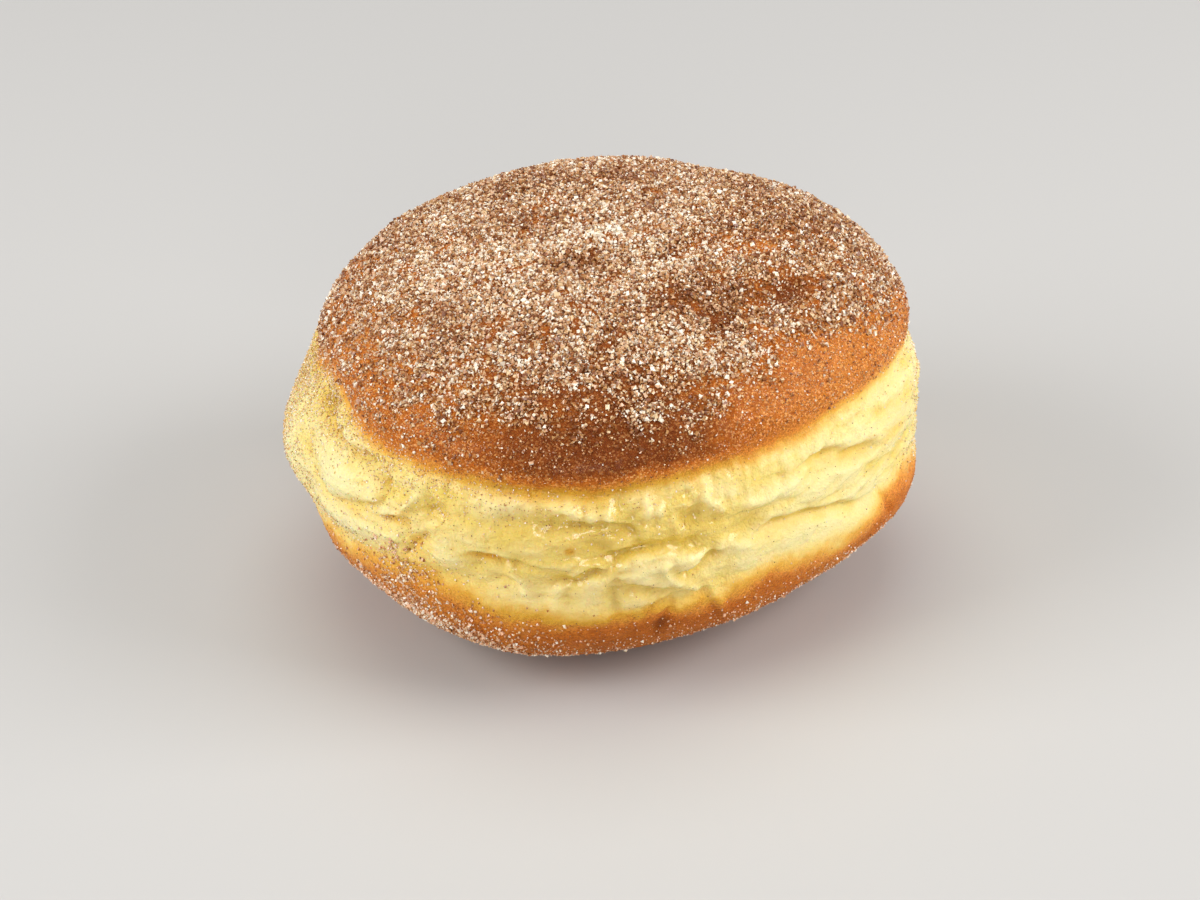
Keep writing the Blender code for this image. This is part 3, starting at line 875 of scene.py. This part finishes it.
class Effects:
    """Shader node groups that are placed several times, each made once."""

    @staticmethod
    def start(name: str, inputs: dict[str, float], outputs: tuple[str, ...]) -> tuple[Graph, Node, Node]:
        """An empty shader node group with its sockets.

        Args:
            name: the group's name.
            inputs: names and default values of its float inputs.
            outputs: names of its float outputs.

        Returns:
            The group's graph, its Group Input and its Group Output.
        """
        tree = bpy.data.node_groups.new(name, "ShaderNodeTree")
        for label, value in inputs.items():
            socket = tree.interface.new_socket(name=label, in_out="INPUT", socket_type="NodeSocketFloat")
            socket.default_value = value
        for label in outputs:
            tree.interface.new_socket(name=label, in_out="OUTPUT", socket_type="NodeSocketFloat")
        return Graph(tree), tree.nodes.new("NodeGroupInput"), tree.nodes.new("NodeGroupOutput")

    @staticmethod
    @cache
    def mottle() -> NodeTree:
        """Soft uneven spots: Size in millimetres and Contrast in, Mask out, from none to one.

        Returns:
            The group.
        """
        graph, given, result = Effects.start("Mottle", {"Size": 1.0, "Contrast": 2.0}, ("Mask",))
        spots = graph.texture("ShaderNodeTexNoise", given.outputs["Size"], Detail=3.0, Roughness=0.6)
        spread = graph.times(graph.off_middle(spots.outputs["Fac"]), given.outputs["Contrast"])
        graph.fill(result, {"Mask": graph.plus(spread, 0.5, clamp=True)})
        return graph.tree

    @staticmethod
    @cache
    def granules() -> NodeTree:
        """Fine grains side by side: Size in millimetres in, a random Tone and a domed Height out.

        Returns:
            The group.
        """
        graph, given, result = Effects.start("Granules", {"Size": 0.4}, ("Tone", "Height"))
        cells = graph.texture("ShaderNodeTexVoronoi", given.outputs["Size"])
        apart = graph.node("ShaderNodeSeparateColor", {0: cells.outputs["Color"]})
        dome = graph.maths("SUBTRACT", 1.0, cells.outputs["Distance"], clamp=True)
        graph.fill(result, {"Tone": apart.outputs[0], "Height": dome})
        return graph.tree


@dataclass(frozen=True)
class DoughFinish:
    """Fried dough: pale and waxy on the belly, browned and grainy on the cap and the base."""

    browns: tuple[tuple[float, Colour], ...] = (
        (0.0, (0.97, 0.81, 0.37)),
        (0.10, (0.96, 0.70, 0.22)),
        (0.26, (0.94, 0.50, 0.08)),
        (0.48, (0.93, 0.345, 0.058)),
        (0.72, (0.68, 0.19, 0.016)),
        (1.0, (0.27, 0.062, 0.005)),
    )
    waxy_colour: Colour = (0.90, 0.68, 0.15)
    # painted shade, laid into the belly's creases
    hollow_shade_colour: Colour = (0.78, 0.52, 0.06)
    # painted highlight, laid on the belly's crests
    ridge_highlight_colour: Colour = (1.0, 0.88, 0.46)
    # A darker, duller ochre where the browning begins, laid on the front only.
    ochre_colour: Colour = (0.74, 0.40, 0.03)
    glint_colour: Colour = (0.98, 0.56, 0.22)
    shades: tuple[tuple[float, Colour], ...] = ((0.0, (0.62, 0.52, 0.46)), (1.0, (1.0, 1.0, 1.0)))
    dry_coat: float = 0.05
    crumple_height: float = 6.5
    relief_strength: float = 0.85
    relief_depth: float = 0.13
    plain_values: tuple[tuple[str, object], ...] = (
        ("Specular IOR Level", 0.12),
        ("Coat Roughness", 0.15),
        ("Coat IOR", 1.56),
        ("Subsurface Weight", 0.4),
        ("Subsurface Radius", (1.0, 0.5, 0.14)),
        ("Subsurface Scale", 1.6 * MM),
    )

    def material(self) -> Material:
        """The finish, which reads the values that the skin's mesh holds.

        Returns:
            The material.
        """
        material = new_material("fried dough", dict(self.plain_values))
        graph = Graph(material.node_tree)
        browning = graph.attribute("browning")
        crust = graph.between(browning, 0.15, 0.5, 0.0, 1.0)
        pale = graph.between(browning, 0.0, 0.4, 1.0, 0.0)
        mottle = graph.group(Effects.mottle(), Size=1.1, Contrast=1.6).outputs["Mask"]
        fine = graph.group(Effects.mottle(), Size=0.3, Contrast=2.4).outputs["Mask"]
        grains = graph.group(Effects.granules(), Size=0.22)

        patchy = graph.times(graph.off_middle(mottle), 0.14)
        flecks = graph.times(graph.off_middle(fine), 0.4)
        toned = graph.plus(browning, graph.times(patchy, graph.plus(crust, 0.12)), clamp=True)
        waxy = graph.plus(graph.plus(graph.attribute("waxy"), patchy), flecks, clamp=True)
        # painted highlight on the belly's crests, with fine random flecks
        ridge_highlight = graph.plus(graph.attribute("ridge_highlight"), graph.times(flecks, 0.5), clamp=True)
        # painted shade in the creases, only where the dough is pale
        hollow_shade = graph.times(graph.attribute("hollow_shade"), pale)
        glints = graph.between(grains.outputs["Tone"], 0.72, 0.96, 0.0, 0.6)
        glints = graph.times(glints, graph.between(browning, 0.74, 0.92, 1.0, 0.35))

        colour = graph.ramp(toned, self.browns)
        for share, over in (
            (graph.times(waxy, pale), self.waxy_colour),
            (graph.times(ridge_highlight, graph.times(pale, 0.75)), self.ridge_highlight_colour),
            (graph.times(hollow_shade, 0.8), self.hollow_shade_colour),
            (graph.times(graph.attribute("ochre"), 0.85), self.ochre_colour),
        ):
            colour = graph.mix(share, colour, over)
        shades = graph.ramp(grains.outputs["Tone"], self.shades)
        colour = graph.mix(crust, colour, shades, blend="MULTIPLY")
        colour = graph.mix(graph.times(glints, graph.attribute("cap")), colour, self.glint_colour)

        moist = graph.times(graph.plus(graph.attribute("moist"), flecks, clamp=True), pale)
        looks = {
            "Base Color": colour,
            "Roughness": graph.between(toned, 0.0, 0.4, 0.24, 0.6),
            "Coat Weight": graph.plus(moist, self.dry_coat, clamp=True),
            "Normal": self.fine_relief(graph, grains.outputs["Height"], fine, crust, waxy),
        }
        graph.fill(graph.tree.nodes["Principled BSDF"], looks)
        return material

    def fine_relief(
        self, graph: Graph, grains: NodeSocket, fine: NodeSocket, crust: NodeSocket, waxy: NodeSocket
    ) -> NodeSocket:
        """The fine relief: grainy on the crust, slightly pitted on the belly and crumpled where waxy.

        Args:
            graph: the material's nodes.
            grains: domed heights of the crust's grains.
            fine: fine spots.
            crust: one on the crust, none on the belly.
            waxy: how waxy the skin is.

        Returns:
            The normal.
        """
        soft = graph.group(Effects.mottle(), Size=0.75, Contrast=2.0).outputs["Mask"]
        height = graph.plus(graph.times(grains, graph.plus(graph.times(crust, 1.3), 0.1)), fine)
        height = graph.plus(height, graph.times(soft, 1.2))
        crumple = graph.group(Effects.mottle(), Size=2.1, Contrast=1.7).outputs["Mask"]
        crest = graph.maths("ABSOLUTE", graph.off_middle(crumple))
        crest = graph.times(crest, graph.times(waxy, self.crumple_height))
        values = {
            "Strength": self.relief_strength,
            "Distance": self.relief_depth * MM,
            "Height": graph.maths("SUBTRACT", height, crest),
        }
        return graph.node("ShaderNodeBump", values).outputs["Normal"]


@dataclass(frozen=True)
class GrainFinish:
    """One tone of grain. A grain shows several tones, one on each facet."""

    name: str
    colour: Colour
    roughness: float = 0.14
    ior: float = 1.52

    @cache
    def material(self) -> Material:
        """The finish as a material, the same one for all kinds of grain."""
        values = {"Base Color": self.colour, "Roughness": self.roughness, "IOR": self.ior}
        return new_material(self.name, values)


# The white of the sugar, and painted glints on the facets that draw this tone.
WHITE_AND_GLINT = GrainFinish("sugar white and glint", (0.96, 0.88, 0.73))
CREAM = GrainFinish("sugar cream", (0.85, 0.63, 0.37))
ROSE = GrainFinish("sugar rose", (0.70, 0.41, 0.23))
TAN = GrainFinish("sugar tan", (0.52, 0.27, 0.10))
AMBER = GrainFinish("sugar amber", (0.40, 0.145, 0.040))
BROWN = GrainFinish("sugar brown", (0.22, 0.066, 0.016), 0.3)
COPPER = GrainFinish("sugar copper", (0.86, 0.50, 0.30))
GOLD = GrainFinish("sugar gold", (0.86, 0.55, 0.18), 0.25)
CINNAMON = GrainFinish("cinnamon", (0.14, 0.05, 0.014), 0.7)


class Blend(Enum):
    """Blends of tones, each tone with its share."""

    SUGAR = ((WHITE_AND_GLINT, 0.12), (CREAM, 0.19), (ROSE, 0.19), (TAN, 0.20), (AMBER, 0.16), (BROWN, 0.14))
    FINE_SUGAR = ((WHITE_AND_GLINT, 0.16), (CREAM, 0.22), (ROSE, 0.21), (TAN, 0.20), (AMBER, 0.13), (BROWN, 0.08))
    CLUMPS = ((WHITE_AND_GLINT, 0.15), (CREAM, 0.13), (COPPER, 0.26), (ROSE, 0.2), (TAN, 0.16), (AMBER, 0.1))
    GRIT = ((WHITE_AND_GLINT, 0.07), (CREAM, 0.09), (COPPER, 0.32), (ROSE, 0.2), (TAN, 0.18), (AMBER, 0.14))
    POWDER = ((COPPER, 0.28), (ROSE, 0.07), (TAN, 0.21), (AMBER, 0.32), (BROWN, 0.12))
    CRUMBS = ((WHITE_AND_GLINT, 0.3), (CREAM, 0.3), (GOLD, 0.28), (TAN, 0.12))
    SPICE = ((CINNAMON, 0.55), (BROWN, 0.3), (AMBER, 0.15))


class Crystal(Enum):
    """The shapes that grains come in."""

    WEDGE = "wedge"
    CHIP = "chip"
    DUST = "dust"

    def template(self) -> tuple[Array, Array]:
        """The shape of a grain about one wide.

        Returns:
            Corners, and the numbers of each face's corners.
        """
        if self is Crystal.DUST:
            corners = np.array([[1, 1, 1], [-1, -1, 1], [-1, 1, -1], [1, -1, -1]], float)
            return corners * 0.42, np.array([[0, 1, 3], [0, 2, 1], [0, 3, 2], [1, 2, 3]])
        if self is Crystal.CHIP:
            axes = np.eye(3)
            corners = np.stack([axes, -axes], axis=1).reshape(-1, 3)
            faces = [[0, 2, 4], [2, 1, 4], [1, 3, 4], [3, 0, 4], [2, 0, 5], [1, 2, 5], [3, 1, 5], [0, 3, 5]]
            return corners * 0.625, np.array(faces)
        corners = [[x, y, z] for z in (-1, 1) for x, y in ((-1, -0.8), (1, -0.8), (0, 1.2))]
        faces = [[0, 2, 1], [3, 4, 5], [0, 1, 4], [0, 4, 3], [1, 2, 5], [1, 5, 4], [2, 0, 3], [2, 3, 5]]
        return np.array(corners, float) * 0.5, np.array(faces)


@dataclass
class DoughSkin:
    """The fine skin, as one closed mesh."""

    form: DoughForm
    columns: int = 480
    rows: int = 204
    steepest: float = 89.9
    values: tuple[str, ...] = ("browning", "hollow_shade", "ridge_highlight", "waxy", "moist", "ochre", "cap")

    def row_slopes(self) -> Array:
        """Slopes of the rows, closest together on the belly and widest apart under the foot.

        Returns:
            One slope for each row, in degrees.
        """
        slope = np.linspace(-self.steepest, self.steepest, 4000)
        radius, height, _, _ = self.form.smooth_body(np.full(slope.shape, -90.0), slope)
        step = np.hypot(np.diff(radius), np.diff(np.maximum(height, 0.0)))
        middle = (height[1:] + height[:-1]) / 2
        fineness = 1.0 + 0.55 * bump(middle - 26.0, 11.0) - 0.72 * smooth_step(middle, 3.0, 0.5)
        length = np.concatenate([[0.0], np.cumsum(step * fineness)])
        return np.interp(np.linspace(0.0, length[-1], self.rows + 2)[1:-1], length, slope)

    def column_azimuths(self) -> Array:
        """Azimuths of the columns, closest together at the front.

        Returns:
            One azimuth for each column, in degrees.
        """
        azimuth = np.linspace(-180.0, 180.0, 3601)
        closeness = 1.0 + 1.5 * facing(azimuth, -90.0, 58.0)
        share = np.concatenate([[0.0], np.cumsum((closeness[1:] + closeness[:-1]) / 2)])
        return np.interp(np.arange(self.columns) / self.columns * share[-1], share, azimuth)

    def build(self) -> tuple[Object, "SkinSurface"]:
        """Build the skin and what grains are strewn on.

        Returns:
            The object and the surface.
        """
        azimuth, slope = np.meshgrid(self.column_azimuths(), self.row_slopes())
        azimuth = np.concatenate([azimuth.ravel(), [0.0, 0.0]])
        slope = np.concatenate([slope.ravel(), [-90.0, 90.0]])
        skin = self.form.points(azimuth, slope)
        grid = np.arange(self.rows * self.columns).reshape(self.rows, self.columns)
        right = np.roll(grid, -1, axis=1)
        quads = np.stack([grid[:-1], right[:-1], right[1:], grid[1:]], axis=-1).reshape(-1, 4)
        low = [[b, a, grid.size] for a, b in zip(grid[0], right[0])]
        high = [[a, b, grid.size + 1] for a, b in zip(grid[-1], right[-1])]
        item = new_piece("dough_skin", skin.places * MM, quads.tolist() + low + high)
        for label in self.values:
            layer = item.data.attributes.new(label, "FLOAT", "POINT")
            layer.data.foreach_set("value", getattr(skin, label).astype(np.float32))
        item.data.shade_smooth()
        item.data.materials.append(DoughFinish().material())
        return item, SkinSurface(skin, quads)


def new_piece(name: str, points: Array, faces: list[list[int]]) -> Object:
    """An object of one mesh, in the scene.

    Args:
        name: the piece's name.
        points: corners in metres, one row each.
        faces: the corners of each face, by number.

    Returns:
        The object.
    """
    mesh = bpy.data.meshes.new(name)
    mesh.from_pydata(points.tolist(), [], faces)
    item = bpy.data.objects.new(name, mesh)
    bpy.context.scene.collection.objects.link(item)
    return item


@dataclass
class SkinSurface:
    """The skin's quads, on which grains are strewn."""

    skin: SkinPoints
    quads: Array

    def __post_init__(self) -> None:
        """Work out each quad's centre, outward direction, area and tone of sugar."""
        a, b, c, d = (self.skin.places[self.quads[:, k]] for k in range(4))
        cross = np.cross(c - a, d - b)
        length = np.linalg.norm(cross, axis=1)
        self.area = length / 2
        # Tone zones of the sugar, in part painted shade in the cap's dents.
        self.zone = self.mean(self.skin.tint_and_shade) + 0.4 * Waves(8).at((a + c) / 2, 1.6)
        self.outward = cross / np.maximum(length, 1e-9)[:, None]
        self.corners = (a, b, c, d)
        self.centre = self.mean(self.skin.places)
        self.azimuth = np.degrees(np.arctan2(self.centre[:, 1], self.centre[:, 0]))

    def mean(self, values: Array) -> Array:
        """A value of each quad from those of its corners."""
        return values[self.quads].mean(axis=1)

    def strew(self, count: int, density: Array, draw: np.random.Generator) -> tuple[Array, Array, Array]:
        """Places for grains, more of them where the density is higher.

        Args:
            count: how many places.
            density: one value for each quad, none where no grain lies.
            draw: the random numbers.

        Returns:
            Places, outward directions and the quad that each lies on.
        """
        weight = np.cumsum(self.area * density)
        pick = np.searchsorted(weight, draw.random(count) * weight[-1])
        u, v = draw.random((2, count, 1))
        a, b, c, d = (corner[pick] for corner in self.corners)
        place = (1 - u) * (1 - v) * a + u * (1 - v) * b + u * v * c + (1 - u) * v * d
        return place, self.outward[pick], pick


@dataclass
class GrainKind:
    """Grains of one kind, strewn over the skin as one mesh.

    width holds the smallest and the largest, in millimetres. stand is how far a grain's centre stands
    off the skin as a share of its width, and pile how much higher the topmost lie. A facet's tone is
    drawn for the grain, pulled by its zone and by chance for each facet; the change from facet to facet
    paints the grains' sparkle, white facets are painted glints, and the zone is in part painted shade in
    the cap's dents. No corner is below lowest.
    """

    name: str
    shape: Crystal
    count: int
    width: tuple[float, float]
    blend: Blend
    seed: int
    stand: float = 0.2
    pile: float = 0.1
    unevenness: float = 0.055
    zone_pull: float = 0.3
    # spread of tones between a grain's facets, which paints sparkle
    facet_pull: float = 0.24
    lowest: float = 0.02
    width_spread: tuple[float, float] = (2.0, 2.6)
    stretches: tuple[float, float] = (0.72, 1.28)

    def build(self, surface: SkinSurface, density: Array) -> Object:
        """Strew the grains and join them in one object.

        Args:
            surface: the skin they lie on.
            density: how thick they lie on each of its quads.

        Returns:
            The object, with one material slot for each tone.
        """
        draw = np.random.default_rng(self.seed)
        place, outward, quad = surface.strew(self.count, density, draw)
        corners, faces = self.shape.template()
        small, large = self.width
        width = small + (large - small) * draw.beta(*self.width_spread, self.count)
        stretch = draw.uniform(*self.stretches, (self.count, 1, 3))
        shape = corners[None] * stretch + draw.normal(0.0, self.unevenness, (self.count, len(corners), 3))
        turned = np.einsum("nij,nkj->nki", self.random_turns(draw), shape) * width[:, None, None]
        lift = self.stand * width + self.pile * density[quad] * draw.random(self.count) ** 2
        centre = place + outward * lift[:, None]
        points = (turned + centre[:, None, :]).reshape(-1, 3)
        points[:, 2] = np.maximum(points[:, 2], self.lowest)
        offsets = np.arange(self.count)[:, None, None] * len(corners)
        item = new_piece(self.name, points * MM, (faces + offsets).reshape(-1, faces.shape[1]).tolist())

        finishes, shares = zip(*self.blend.value)
        limits = np.cumsum(shares) / sum(shares)
        chance = draw.random(self.count)[:, None] + self.zone_pull * surface.zone[quad][:, None]
        chance = chance + draw.normal(0.0, self.facet_pull, (self.count, len(faces)))
        tone = np.searchsorted(limits[:-1], np.clip(chance, 0.0, 1.0))
        item.data.polygons.foreach_set("material_index", tone.ravel().astype(np.int32))
        for finish in finishes:
            item.data.materials.append(finish.material())
        log.info("%s: %d grains", self.name, self.count)
        return item

    def random_turns(self, draw: np.random.Generator) -> Array:
        """Turn each grain at random.

        Args:
            draw: the random numbers.

        Returns:
            One matrix for each grain.
        """
        q = draw.normal(size=(self.count, 4))
        q /= np.linalg.norm(q, axis=1)[:, None]
        w, x, y, z = q.T
        matrix = [
            [1 - 2 * (y * y + z * z), 2 * (x * y - z * w), 2 * (x * z + y * w)],
            [2 * (x * y + z * w), 1 - 2 * (x * x + z * z), 2 * (y * z - x * w)],
            [2 * (x * z - y * w), 2 * (y * z + x * w), 1 - 2 * (x * x + y * y)],
        ]
        return np.array(matrix).transpose(2, 0, 1)


@dataclass
class SugarCoat:
    """All that clings to the skin: crystals, powder, crumbs and cinnamon."""

    surface: SkinSurface
    form: DoughForm
    base_left: Swell = Swell(-126.0, 8.0, 17.0, 5.5, 1.0)
    base_patch: Swell = Swell(-129.0, 17.0, 6.0, 5.0, 1.0)
    clean_pillow: Swell = Swell(-143.0, 28.0, 8.0, 3.4, 0.75)

    def cap_densities(self) -> tuple[Array, Array, Array]:
        """How thick grains lie on the cap.

        Returns:
            The densities of the coat, the stray grains and the powder.
        """
        surface = self.surface
        cap = surface.mean(surface.skin.cap)
        sugar = surface.mean(surface.skin.sugar)
        stray = cap * (1.0 - 0.85 * facing(surface.azimuth, -88.0, 30.0))
        powder = cap * (1.0 - 0.6 * sugar) * (1.0 - 0.42 * facing(surface.azimuth, -86.0, 24.0))
        return sugar**1.1 * cap, stray, powder

    def belly_densities(self) -> tuple[Array, Array]:
        """How thick crumbs and cinnamon lie on the belly.

        Returns:
            The densities of both.
        """
        surface = self.surface
        azimuth, height = surface.azimuth, surface.centre[:, 2]
        belly = surface.mean(surface.skin.belly)
        left = facing(azimuth, -155.0, 34.0) * belly
        rim = bump(self.form.above_cap_edge(azimuth, height) + 1.5, 3.4)
        under_rim = facing(azimuth, -145.0, 38.0) * rim * (belly + 0.3)
        fuzz = (facing(azimuth, 180.0, 20.0) + 0.6 * bump(azimuth, 14.0)) * belly
        creased = surface.mean(surface.skin.hollow_shade) * facing(azimuth, -150.0, 40.0)
        sides = under_rim + fuzz + creased
        clean = 1.0 - self.clean_pillow.at(azimuth, height)
        crumbs = (sides + 0.2 * left + 0.03 * belly) * clean
        return crumbs, (0.45 * left + 0.8 * sides + 0.05 * belly) * clean

    def base_densities(self) -> tuple[Array, Array, Array]:
        """How thick grains lie on the base.

        Returns:
            The densities of the clumps low on it, of their patch at the left and of the powder.
        """
        surface, skin = self.surface, self.surface.skin
        azimuth, height = surface.azimuth, surface.centre[:, 2]
        patch = self.base_patch.at(azimuth, height)
        low = np.maximum(self.base_left.at(azimuth, height), 0.5 * patch)
        low = np.maximum(low, 0.03 * bump(height - 7.0, 4.0)) * (height > 0.6)
        bare = (1.0 - surface.mean(skin.cap)) * (1.0 - surface.mean(skin.belly))
        return low, patch, surface.mean(skin.browning) * bare * (height > 1.0)

    def build(self) -> list[Object]:
        """Strew every kind of grain.

        Returns:
            One object for each kind.
        """
        coat, stray, powder = self.cap_densities()
        crumbs, spice = self.belly_densities()
        low, patch, base = self.base_densities()
        cap = self.surface.mean(self.surface.skin.cap)
        grit = base * bump(self.surface.centre[:, 2] - 8.0, 4.5)
        grit = grit * (1.0 - 0.6 * facing(self.surface.azimuth, -80.0, 32.0))
        wedge, chip, dust = Crystal.WEDGE, Crystal.CHIP, Crystal.DUST
        kinds = (
            ("sugar_coarse", wedge, 24200, (0.28, 0.58), Blend.SUGAR, 1, 0.22, 0.5, coat),
            ("sugar_medium", chip, 24200, (0.22, 0.44), Blend.SUGAR, 2, 0.24, 0.5, coat + 0.05 * stray),
            ("sugar_fine", dust, 48500, (0.15, 0.34), Blend.FINE_SUGAR, 3, 0.2, 0.3,
             coat + 0.08 * stray + 0.2 * low),
            ("base_sugar", wedge, 2200, (0.2, 0.44), Blend.CLUMPS, 7, 0.22, 0.2, low),
            ("base_powder", dust, 7400, (0.13, 0.28), Blend.GRIT, 9, grit),
            ("crust_powder", dust, 24800, (0.10, 0.20), Blend.POWDER, 4, powder + 0.06 * base),
            ("belly_crumbs", dust, 8500, (0.11, 0.29), Blend.CRUMBS, 6, crumbs + 0.6 * patch),
            ("cinnamon_specks", dust, 4800, (0.08, 0.17), Blend.SPICE, 5, 0.2, 0.0,
             spice + 0.12 * cap + patch),
        )
        return [GrainKind(*kind).build(self.surface, density) for *kind, density in kinds]


@dataclass
class Studio:
    """Floor, lights and camera.

    A light's row holds its name, its place and its size in metres, and its power in watts.
    """

    elevation: float = 29.25
    roll: float = 2.47
    distance: float = 411.94
    look_at: tuple[float, float, float] = (-0.57, -0.31, 15.91)
    lens: float = 85.0
    floor_half: float = 4.0
    floor_colour: Colour = (0.56, 0.55, 0.535)
    floor_roughness: float = 0.55
    sky_colour: Colour = (1.0, 0.985, 0.965)
    sky_strength: float = 0.355
    aim: tuple[float, float, float] = (0.0, 0.0, 0.02)
    lights: tuple[tuple[str, tuple[float, float, float], float, float], ...] = (
        ("left softbox", (-0.80, -0.20, 0.50), 0.6, 6.2),
        ("right softbox", (0.80, -0.15, 0.48), 0.6, 6.6),
        ("top softbox", (0.0, 0.25, 0.95), 0.8, 3.1),
        ("front softbox", (0.15, -1.50, 0.45), 0.5, 5.0),
    )

    def build(self) -> None:
        """Set the scene round the doughnut."""
        self.add_floor()
        self.add_lights()
        self.add_camera()
        view = bpy.context.scene.view_settings
        view.view_transform = "Standard"
        view.look = "None"

    def add_floor(self) -> None:
        """A wide pale floor."""
        corners = np.array([(-1, -1, 0), (1, -1, 0), (1, 1, 0), (-1, 1, 0)]) * self.floor_half
        item = new_piece("floor", corners, [[0, 1, 2, 3]])
        values = {"Base Color": self.floor_colour, "Roughness": self.floor_roughness}
        item.data.materials.append(new_material("pale floor", values))

    def add_lights(self) -> None:
        """A bright room and soft lights round the doughnut."""
        world = bpy.data.worlds.new("studio")
        bpy.context.scene.world = world
        world.use_nodes = True
        values = {"Color": self.sky_colour, "Strength": self.sky_strength}
        Graph(world.node_tree).fill(world.node_tree.nodes["Background"], values)
        for name, place, size, power in self.lights:
            light = bpy.data.lights.new(name, "AREA")
            light.shape = "SQUARE"
            light.size = size
            light.energy = power
            item = bpy.data.objects.new(name, light)
            item.location = place
            look = Vector(self.aim) - Vector(place)
            item.rotation_euler = look.to_track_quat("-Z", "Y").to_euler()
            bpy.context.scene.collection.objects.link(item)

    def add_camera(self) -> None:
        """The camera, at the photograph's angle."""
        camera = bpy.data.cameras.new("camera")
        camera.lens = self.lens
        camera.sensor_width = 36.0
        camera.clip_start = 0.01
        item = bpy.data.objects.new("camera", camera)
        look = Vector(self.look_at) * MM
        rise = math.radians(self.elevation)
        eye = look + Vector((0, -math.cos(rise), math.sin(rise))) * self.distance * MM
        level = (look - eye).to_track_quat("-Z", "Y").to_matrix()
        turn = level @ Matrix.Rotation(-math.radians(self.roll), 3, "Z")
        item.matrix_world = Matrix.Translation(eye) @ turn.to_4x4()
        bpy.context.scene.collection.objects.link(item)
        bpy.context.scene.camera = item


def main() -> None:
    """Build the doughnut's looks and the studio."""
    form = DoughForm()
    skin, surface = DoughSkin(form).build()
    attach(skin, BODY)
    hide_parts(NODE)
    log.info("%s: %d faces", skin.name, len(skin.data.polygons))
    for grains in SugarCoat(surface, form).build():
        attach(grains, BODY)
        log.info("%s rides on %s", grains.name, BODY)
    Studio().build()


if __name__ == "__main__":
    main()
